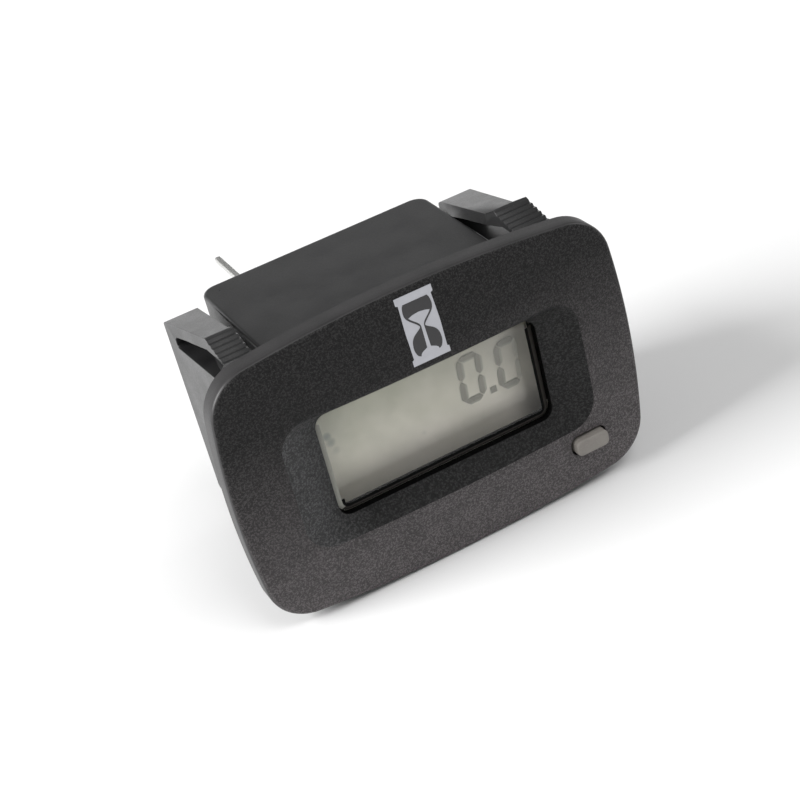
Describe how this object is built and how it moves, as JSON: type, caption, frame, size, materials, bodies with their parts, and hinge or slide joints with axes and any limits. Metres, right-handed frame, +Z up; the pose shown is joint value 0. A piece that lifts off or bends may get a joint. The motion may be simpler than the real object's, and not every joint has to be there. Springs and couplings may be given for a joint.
{
  "type": "hour meter",
  "caption": "Snap-in panel hour meter: crowned rectangular bezel, digit display behind a clear window, reset button, boxed housing with serrated side clips and rear pins.",
  "frame": {"origin": "centre of the panel cut-out, on the panel's front face, which the back of the bezel's rim touches", "axes": "+X to the right and +Z up as the display is read from in front; +Y runs back through the panel, so the front looks along -Y"},
  "size_m": [0.045, 0.0387, 0.0308],
  "materials": {
    "bezel_plastic": "fine spark texture, black",
    "case_plastic": "plain moulded, black",
    "lens_clear": "clear, polished",
    "display_glass": "polished",
    "display_film": "satin reflector",
    "holder_plastic": "moulded, off-white",
    "zebra_rubber": "striped silicone",
    "board_laminate": "solder mask, green",
    "chip_resin": "moulded resin",
    "tinned_metal": "tin plated",
    "can_aluminium": "drawn can",
    "resistor_coat": "coated",
    "suppressor_coat": "dipped resin",
    "chip_ceramic": "fired, plated ends",
    "switch_resin": "moulded",
    "button_plastic": "moulded, warm grey"
  },
  "bodies": {
    "case": {"bezel": "bezel_plastic", "housing": "case_plastic", "back_cover": "case_plastic", "lens": "lens_clear", "lcd_front_polariser": "display_glass", "lcd_front_glass": "display_glass", "lcd_rear_glass": "display_glass", "lcd_reflector": "display_film", "lcd_holder": "holder_plastic", "zebra_strip_upper": "zebra_rubber", "zebra_strip_lower": "zebra_rubber", "circuit_board": "board_laminate", "board_screw_left": "tinned_metal", "board_screw_right": "tinned_metal", "terminal_pin_upper": "tinned_metal", "terminal_pin_middle": "tinned_metal", "terminal_pin_lower": "tinned_metal", "microcontroller": "chip_resin", "memory_chip": "chip_resin", "chip_capacitor_1": "chip_ceramic", "chip_capacitor_2": "chip_ceramic", "chip_capacitor_3": "chip_ceramic", "rectifier_diode": "chip_resin", "dropping_resistor_upper": "resistor_coat", "dropping_resistor_lower": "resistor_coat", "input_capacitor": "can_aluminium", "surge_suppressor": "suppressor_coat", "timing_crystal": "can_aluminium", "switch_body": "switch_resin"},
    "button": {"reset_button": "button_plastic"},
    "plunger": {"switch_plunger": "button_plastic"}
  },
  "joints": [
    {"name": "reset_button_press", "type": "slide", "parent": "case", "child": "button", "axis": [0, 1, 0], "range_m": [0, 0.0005], "stiffness_N_per_m": 300},
    {"name": "switch_plunger_press", "type": "slide", "parent": "case", "child": "plunger", "axis": [0, 1, 0], "range_m": [0, 0.00025]}
  ],
  "couplings": [
    {"joint": "switch_plunger_press", "follows": "reset_button_press", "ratio": 0.5}
  ]
}
